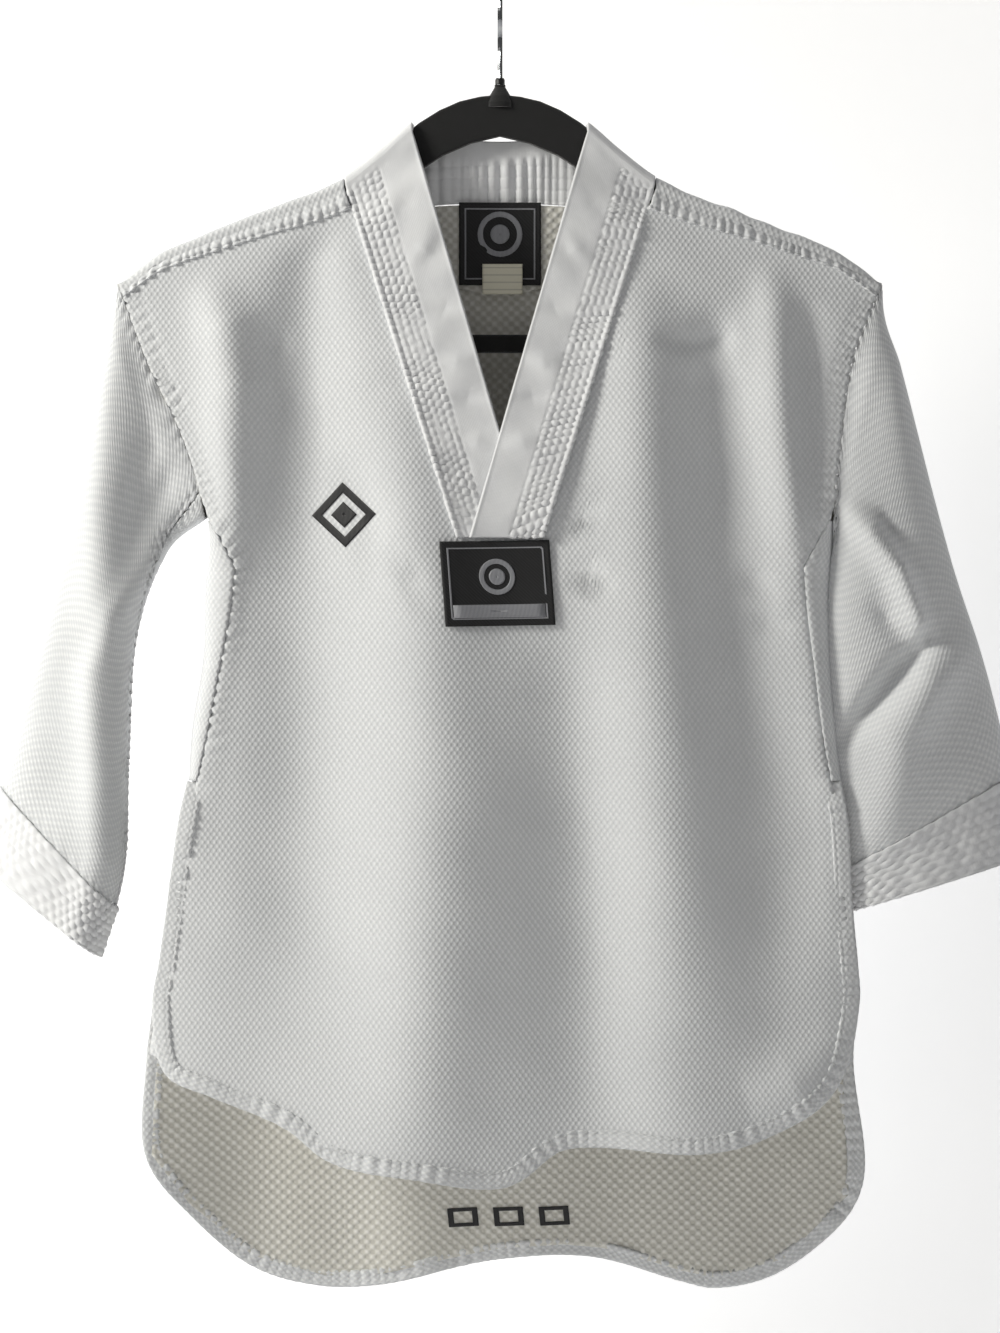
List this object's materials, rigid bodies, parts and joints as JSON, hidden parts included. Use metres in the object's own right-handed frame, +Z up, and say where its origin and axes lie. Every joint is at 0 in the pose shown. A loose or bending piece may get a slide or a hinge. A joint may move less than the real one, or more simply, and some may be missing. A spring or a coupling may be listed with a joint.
{
  "type": "martial arts jacket on a hanger",
  "caption": "White ribbed V-neck martial arts pullover jacket with side vents and a long back tail, hanging on a slim swivel-hook hanger.",
  "frame": {"origin": "where a rail touches the inside of the hanger's hook, right above the hanger's neck", "axes": "+Z up, +X to the right of someone facing the jacket, front towards -Y, rail along X"},
  "size_m": [0.6584, 0.1202, 0.8221],
  "materials": {
    "ribbed_cotton": "matte",
    "smooth_cotton": "satin",
    "black_twill": "matte",
    "black_thread": "satin",
    "cream_tape": "satin",
    "chrome_wire": "polished",
    "black_plastic": "satin",
    "black_flock": "flocked"
  },
  "bodies": {
    "hook": {"hanger_hook": "chrome_wire"},
    "hanger_and_torso": {"hook_ferrule": "black_plastic", "hanger_frame": "black_flock", "front_panel": "ribbed_cotton", "back_panel": "ribbed_cotton", "yoke_left": "ribbed_cotton", "yoke_right": "ribbed_cotton", "collar_left": "smooth_cotton", "collar_right": "smooth_cotton", "back_neckband": "smooth_cotton", "back_neck_facing": "ribbed_cotton", "neck_label": "black_twill", "chest_patch": "black_twill", "chest_emblem_rim": "black_thread", "chest_emblem_core": "black_thread", "side_panel_left": "ribbed_cotton", "side_panel_right": "ribbed_cotton"},
    "sleeve_left": {"sleeve_left": "ribbed_cotton", "sleeve_gusset_left": "ribbed_cotton", "cuff_left": "smooth_cotton"},
    "sleeve_right": {"sleeve_right": "ribbed_cotton", "sleeve_gusset_right": "ribbed_cotton", "cuff_right": "smooth_cotton"},
    "front_tail": {"front_tail": "ribbed_cotton", "front_hem": "smooth_cotton"},
    "back_tail": {"back_tail": "ribbed_cotton", "back_hem": "smooth_cotton", "tail_mark_1": "black_thread", "tail_mark_2": "black_thread", "tail_mark_3": "black_thread"},
    "size_label": {"size_label": "cream_tape"}
  },
  "joints": [
    {"name": "hook_swivel", "type": "hinge", "parent": "hook", "child": "hanger_and_torso", "pos_m": [0, 0, -0.08], "axis": [0, 0, 1], "continuous": true},
    {"name": "sleeve_left_lift", "type": "hinge", "parent": "hanger_and_torso", "child": "sleeve_left", "pos_m": [-0.235, 0, -0.1985], "axis": [0, 1, 0], "range_deg": [0, 65]},
    {"name": "sleeve_right_lift", "type": "hinge", "parent": "hanger_and_torso", "child": "sleeve_right", "pos_m": [0.235, 0, -0.1985], "axis": [0, -1, 0], "range_deg": [0, 65]},
    {"name": "front_tail_lift", "type": "hinge", "parent": "hanger_and_torso", "child": "front_tail", "pos_m": [0, -0.037, -0.505], "axis": [-1, 0, 0], "range_deg": [0, 60]},
    {"name": "back_tail_lift", "type": "hinge", "parent": "hanger_and_torso", "child": "back_tail", "pos_m": [0, 0.037, -0.505], "axis": [1, 0, 0], "range_deg": [0, 60]},
    {"name": "size_label_flip", "type": "hinge", "parent": "hanger_and_torso", "child": "size_label", "pos_m": [0.0015, 0.0125, -0.184], "axis": [-1, 0, 0], "range_deg": [0, 90]}
  ]
}
